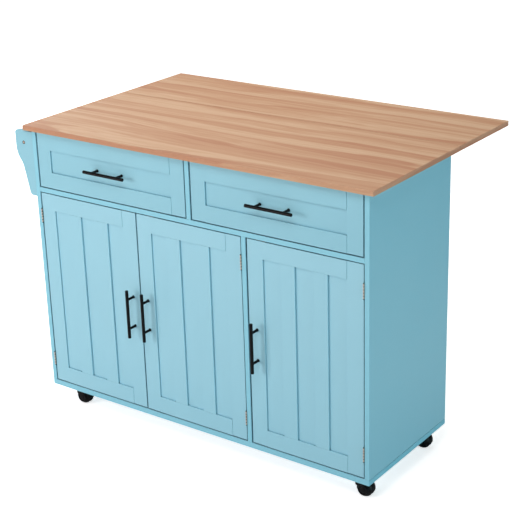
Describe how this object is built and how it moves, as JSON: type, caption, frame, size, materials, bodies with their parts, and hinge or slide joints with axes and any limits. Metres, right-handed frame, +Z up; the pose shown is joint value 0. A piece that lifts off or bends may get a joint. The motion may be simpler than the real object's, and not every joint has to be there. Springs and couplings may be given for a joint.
{
  "type": "drop leaf kitchen island",
  "caption": "Painted kitchen island on casters with drawers over panelled doors, wood-grain worktop, hinged drop leaf on folding braces and a towel rail.",
  "frame": {"origin": "on the floor, below the middle of the whole part with its leaf raised", "axes": "+X to the right along the worktop, seen from the doors; +Y from the doors to the leaf; +Z up"},
  "size_m": [1.305, 0.7954, 0.946],
  "materials": {
    "paint": "satin light blue paint on board",
    "wood_top": "satin brown wood grain",
    "black_metal": "satin black powder coat",
    "nickel": "satin nickel plate",
    "zinc_steel": "zinc plate",
    "screw_steel": "aged nickel",
    "catch_plastic": "white moulded",
    "drawer_board": "white faced board",
    "caster_plastic": "black moulded",
    "wheel_plastic": "black moulded"
  },
  "bodies": {
    "cabinet": {"bottom_board": "paint", "left_side": "paint", "right_side": "paint", "back_panel": "paint", "drawer_deck": "paint", "drawer_divider": "paint", "door_divider": "paint", "top_stretchers": "paint", "left_shelf": "paint", "right_shelf": "paint", "shelf_pins": "zinc_steel", "worktop": "wood_top", "fixed_hinge_strips": "zinc_steel", "leaf_hinge_pins": "zinc_steel", "brace_plates": "zinc_steel", "drawer_runners": "zinc_steel", "door_hinge_plates": "nickel", "door_hinge_pins": "nickel", "door_catches": "catch_plastic", "front_towel_plate": "paint", "rear_towel_plate": "paint", "towel_rod": "wood_top", "towel_rod_screws": "screw_steel", "caster_plates": "caster_plastic"},
    "leaf": {"drop_leaf": "wood_top", "moving_hinge_strips": "zinc_steel", "brace_channels": "zinc_steel"},
    "left_brace_arm": {"left_brace": "zinc_steel"},
    "right_brace_arm": {"right_brace": "zinc_steel"},
    "left_drawer": {"left_drawer_front": "paint", "left_drawer_box": "drawer_board", "left_drawer_bottom": "drawer_board", "left_drawer_handle": "black_metal", "left_drawer_rails": "zinc_steel"},
    "right_drawer": {"right_drawer_front": "paint", "right_drawer_box": "drawer_board", "right_drawer_bottom": "drawer_board", "right_drawer_handle": "black_metal", "right_drawer_rails": "zinc_steel"},
    "left_door": {"left_door_panel": "paint", "left_door_frame": "paint", "left_door_handle": "black_metal", "left_door_fittings": "nickel"},
    "middle_door": {"middle_door_panel": "paint", "middle_door_frame": "paint", "middle_door_handle": "black_metal", "middle_door_fittings": "nickel"},
    "right_door": {"right_door_panel": "paint", "right_door_frame": "paint", "right_door_handle": "black_metal", "right_door_fittings": "nickel"},
    "front_left_swivel": {"front_left_hood": "caster_plastic"},
    "front_left_wheel_pair": {"front_left_wheels": "wheel_plastic"},
    "front_right_swivel": {"front_right_hood": "caster_plastic"},
    "front_right_wheel_pair": {"front_right_wheels": "wheel_plastic"},
    "back_left_swivel": {"back_left_hood": "caster_plastic"},
    "back_left_wheel_pair": {"back_left_wheels": "wheel_plastic"},
    "back_right_swivel": {"back_right_hood": "caster_plastic"},
    "back_right_wheel_pair": {"back_right_wheels": "wheel_plastic"}
  },
  "joints": [
    {"name": "leaf_fold", "type": "hinge", "parent": "cabinet", "child": "leaf", "pos_m": [0, 0.092, 0.9276], "axis": [-1, 0, 0], "range_deg": [0, 90]},
    {"name": "left_brace_fold", "type": "hinge", "parent": "cabinet", "child": "left_brace_arm", "pos_m": [-0.3595, 0.0885, 0.8226], "axis": [-1, 0, 0], "range_deg": [0, 125]},
    {"name": "right_brace_fold", "type": "hinge", "parent": "cabinet", "child": "right_brace_arm", "pos_m": [0.4105, 0.0885, 0.8226], "axis": [-1, 0, 0], "range_deg": [0, 125]},
    {"name": "left_drawer_slide", "type": "slide", "parent": "cabinet", "child": "left_drawer", "axis": [0, -1, 0], "range_m": [0, 0.28]},
    {"name": "right_drawer_slide", "type": "slide", "parent": "cabinet", "child": "right_drawer", "axis": [0, -1, 0], "range_m": [0, 0.28]},
    {"name": "left_door_swing", "type": "hinge", "parent": "cabinet", "child": "left_door", "pos_m": [-0.563, -0.36575, 0.4095], "axis": [0, 0, -1], "range_deg": [0, 105]},
    {"name": "middle_door_swing", "type": "hinge", "parent": "cabinet", "child": "middle_door", "pos_m": [0.20916, -0.36575, 0.4095], "axis": [0, 0, 1], "range_deg": [0, 105]},
    {"name": "right_door_swing", "type": "hinge", "parent": "cabinet", "child": "right_door", "pos_m": [0.614, -0.36575, 0.4095], "axis": [0, 0, 1], "range_deg": [0, 105]},
    {"name": "front_left_swivel_turn", "type": "hinge", "parent": "cabinet", "child": "front_left_swivel", "pos_m": [-0.5145, -0.31075, 0.055], "axis": [0, 0, 1], "continuous": true},
    {"name": "front_left_wheel_roll", "type": "hinge", "parent": "front_left_swivel", "child": "front_left_wheel_pair", "pos_m": [-0.4915, -0.31075, 0.025], "axis": [0, 1, 0], "continuous": true},
    {"name": "front_right_swivel_turn", "type": "hinge", "parent": "cabinet", "child": "front_right_swivel", "pos_m": [0.5655, -0.31075, 0.055], "axis": [0, 0, 1], "continuous": true},
    {"name": "front_right_wheel_roll", "type": "hinge", "parent": "front_right_swivel", "child": "front_right_wheel_pair", "pos_m": [0.5885, -0.31075, 0.025], "axis": [0, 1, 0], "continuous": true},
    {"name": "back_left_swivel_turn", "type": "hinge", "parent": "cabinet", "child": "back_left_swivel", "pos_m": [-0.5145, 0.02525, 0.055], "axis": [0, 0, 1], "continuous": true},
    {"name": "back_left_wheel_roll", "type": "hinge", "parent": "back_left_swivel", "child": "back_left_wheel_pair", "pos_m": [-0.4915, 0.02525, 0.025], "axis": [0, 1, 0], "continuous": true},
    {"name": "back_right_swivel_turn", "type": "hinge", "parent": "cabinet", "child": "back_right_swivel", "pos_m": [0.5655, 0.02525, 0.055], "axis": [0, 0, 1], "continuous": true},
    {"name": "back_right_wheel_roll", "type": "hinge", "parent": "back_right_swivel", "child": "back_right_wheel_pair", "pos_m": [0.5885, 0.02525, 0.025], "axis": [0, 1, 0], "continuous": true}
  ],
  "couplings": [
    {"joint": "left_brace_fold", "follows": "leaf_fold", "ratio": 1.3814},
    {"joint": "right_brace_fold", "follows": "leaf_fold", "ratio": 1.3814}
  ]
}
